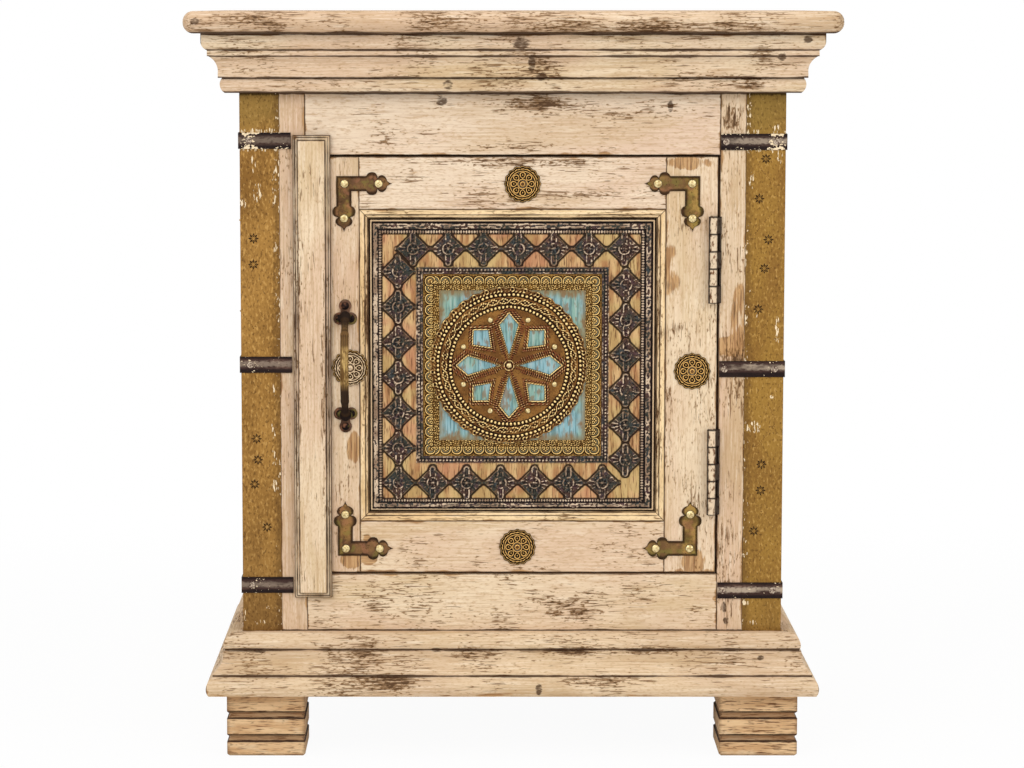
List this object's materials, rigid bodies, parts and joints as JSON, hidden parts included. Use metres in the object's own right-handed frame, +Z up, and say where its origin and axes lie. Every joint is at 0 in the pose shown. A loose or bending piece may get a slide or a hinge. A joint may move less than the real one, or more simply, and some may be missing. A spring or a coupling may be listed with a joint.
{
  "type": "carved cabinet",
  "caption": "Small free-standing wooden cabinet with one hinged door, a carved and brass-clad door panel, moulded cornice and base, block feet and a fixed inner shelf.",
  "frame": {"origin": "middle of the footprint on the floor", "axes": "+Z up, the door faces -Y, +X to the right of someone facing the door"},
  "size_m": [0.562, 0.39, 0.65],
  "materials": {
    "painted_wood": "distressed cream paint over dark wood, crackled along the grain",
    "bare_wood": "old brown wood with paint traces",
    "inner_wood": "unpainted hardwood boards, dusty and dry",
    "carved_wood": "carved hardwood, worn blue-grey paint on tan ground",
    "sheet_brass": "punched sheet brass, aged and mottled",
    "embossed_brass": "embossed brass sheet, polished high spots, dark hollows",
    "antique_brass": "cast brass, antiqued",
    "dark_iron": "blackened iron, waxed, flecked with paint",
    "painted_steel": "steel hinge under cream paint",
    "bare_steel": "plain steel"
  },
  "bodies": {
    "carcass": {"top_board": "painted_wood", "cornice_front": "painted_wood", "cornice_left": "painted_wood", "cornice_right": "painted_wood", "base_front": "painted_wood", "base_left": "painted_wood", "base_right": "painted_wood", "post_front_left": "inner_wood", "post_front_right": "inner_wood", "post_back_left": "painted_wood", "post_back_right": "painted_wood", "post_sleeve_left": "sheet_brass", "post_sleeve_right": "sheet_brass", "stile_left": "painted_wood", "stile_right": "painted_wood", "rail_top": "painted_wood", "rail_bottom": "painted_wood", "side_rails_left": "painted_wood", "side_rails_right": "painted_wood", "side_panel_left": "painted_wood", "side_panel_right": "painted_wood", "back_panel": "inner_wood", "bottom_board": "inner_wood", "shelf": "inner_wood", "cleats": "inner_wood", "foot_front_left": "bare_wood", "foot_front_right": "bare_wood", "foot_back_left": "bare_wood", "foot_back_right": "bare_wood", "straps_left": "dark_iron", "straps_right": "dark_iron", "strap_screws": "dark_iron", "magnet_catch": "bare_steel", "hinge_leaves_frame": "painted_steel", "hinge_screws_frame": "bare_steel", "hinge_pins": "painted_steel"},
    "door": {"door_stile_left": "painted_wood", "door_stile_right": "painted_wood", "door_rail_top": "painted_wood", "door_rail_bottom": "painted_wood", "panel_strips": "painted_wood", "carved_panel": "carved_wood", "brass_frieze": "embossed_brass", "medallion": "embossed_brass", "medallion_nails": "embossed_brass", "cover_batten": "painted_wood", "bracket_top_left": "antique_brass", "bracket_top_right": "antique_brass", "bracket_bottom_left": "antique_brass", "bracket_bottom_right": "antique_brass", "rosettes": "antique_brass", "door_nails": "antique_brass", "handle_plate_top": "antique_brass", "handle_plate_bottom": "antique_brass", "handle_grip": "antique_brass", "handle_screws": "bare_steel", "strike_plate": "bare_steel", "hinge_leaves_door": "painted_steel", "hinge_screws_door": "bare_steel"}
  },
  "joints": [
    {"name": "door_hinge", "type": "hinge", "parent": "carcass", "child": "door", "pos_m": [0.1737, -0.1548, 0.34275], "axis": [0, 0, 1], "range_deg": [0, 110]}
  ]
}
